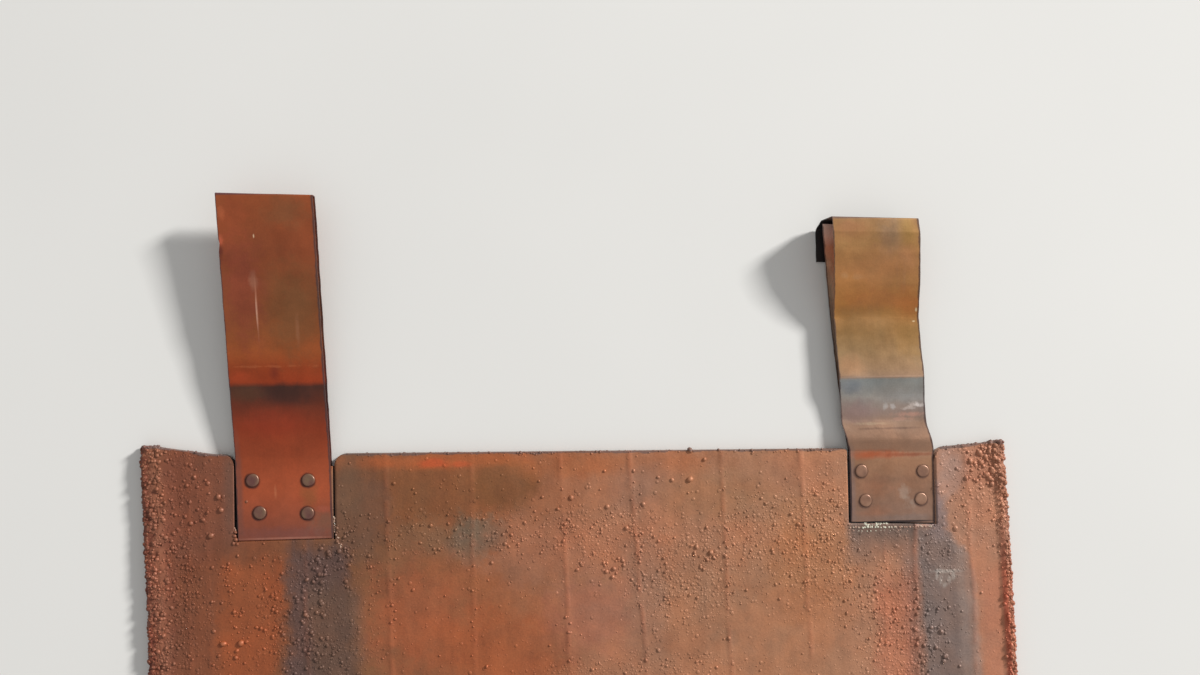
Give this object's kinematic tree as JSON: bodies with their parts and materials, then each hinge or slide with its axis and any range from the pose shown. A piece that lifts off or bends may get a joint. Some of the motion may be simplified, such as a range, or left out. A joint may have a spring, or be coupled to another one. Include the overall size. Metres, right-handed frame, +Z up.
{
  "type": "copper cathode",
  "caption": "Refined copper cathode: a thick plate with rounded beaded edges and riveted strip hanging loops.",
  "frame": {"origin": "on the floor, under the middle of the whole object lying flat", "axes": "+Y along the plate towards the loops' tips, +Z up, out of the plate's front face, +X to the right when the loops point up the page"},
  "size_m": [0.9737, 1.287, 0.042],
  "materials": {
    "deposit_copper": "oxidised, nodular",
    "strip_copper": "heat-tinted, smooth",
    "strip_copper_golden": "tarnished golden brown, smooth",
    "rivet_copper": "dark oxidised"
  },
  "bodies": {
    "root": {"cathode_plate": "deposit_copper", "left_loop": "strip_copper", "right_loop_back": "strip_copper_golden", "right_loop_front": "strip_copper_golden", "rivet_left_1": "rivet_copper", "rivet_left_2": "rivet_copper", "rivet_left_3": "rivet_copper", "rivet_left_4": "rivet_copper", "rivet_right_1": "rivet_copper", "rivet_right_2": "rivet_copper", "rivet_right_3": "rivet_copper", "rivet_right_4": "rivet_copper"}
  },
  "joints": []
}
